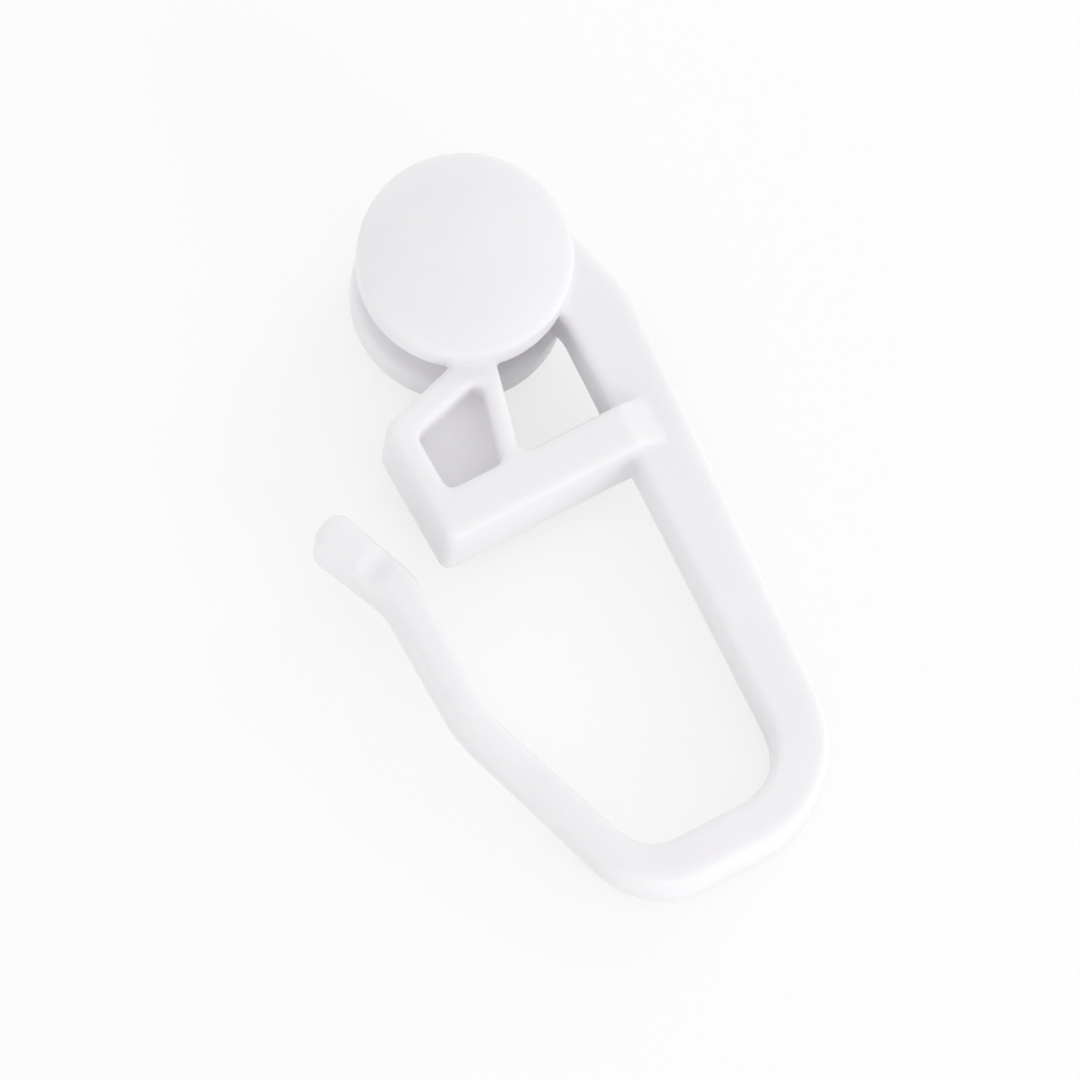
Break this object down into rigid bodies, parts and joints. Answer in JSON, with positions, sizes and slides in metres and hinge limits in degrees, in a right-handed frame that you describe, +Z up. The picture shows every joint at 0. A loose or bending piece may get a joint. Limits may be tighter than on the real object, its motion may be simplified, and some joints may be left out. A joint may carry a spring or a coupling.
{
  "type": "curtain rail hook",
  "caption": "One-piece moulded curtain glider hook: a twin-disc head for a rail over a small deep frame, and a long springy loop that clips into the curtain tape.",
  "frame": {"origin": "on the ground, under the middle of the box round the lying hook", "axes": "+Z up, +Y from the loop to the head, +X from the arm to the spine. The hook lies on its back, tipped about X by 5.0 degrees, with its head higher than its loop."},
  "size_m": [0.0208, 0.0402, 0.0095],
  "materials": {
    "plastic": "satin, as moulded"
  },
  "bodies": {
    "root": {"hook": "plastic"}
  },
  "joints": []
}
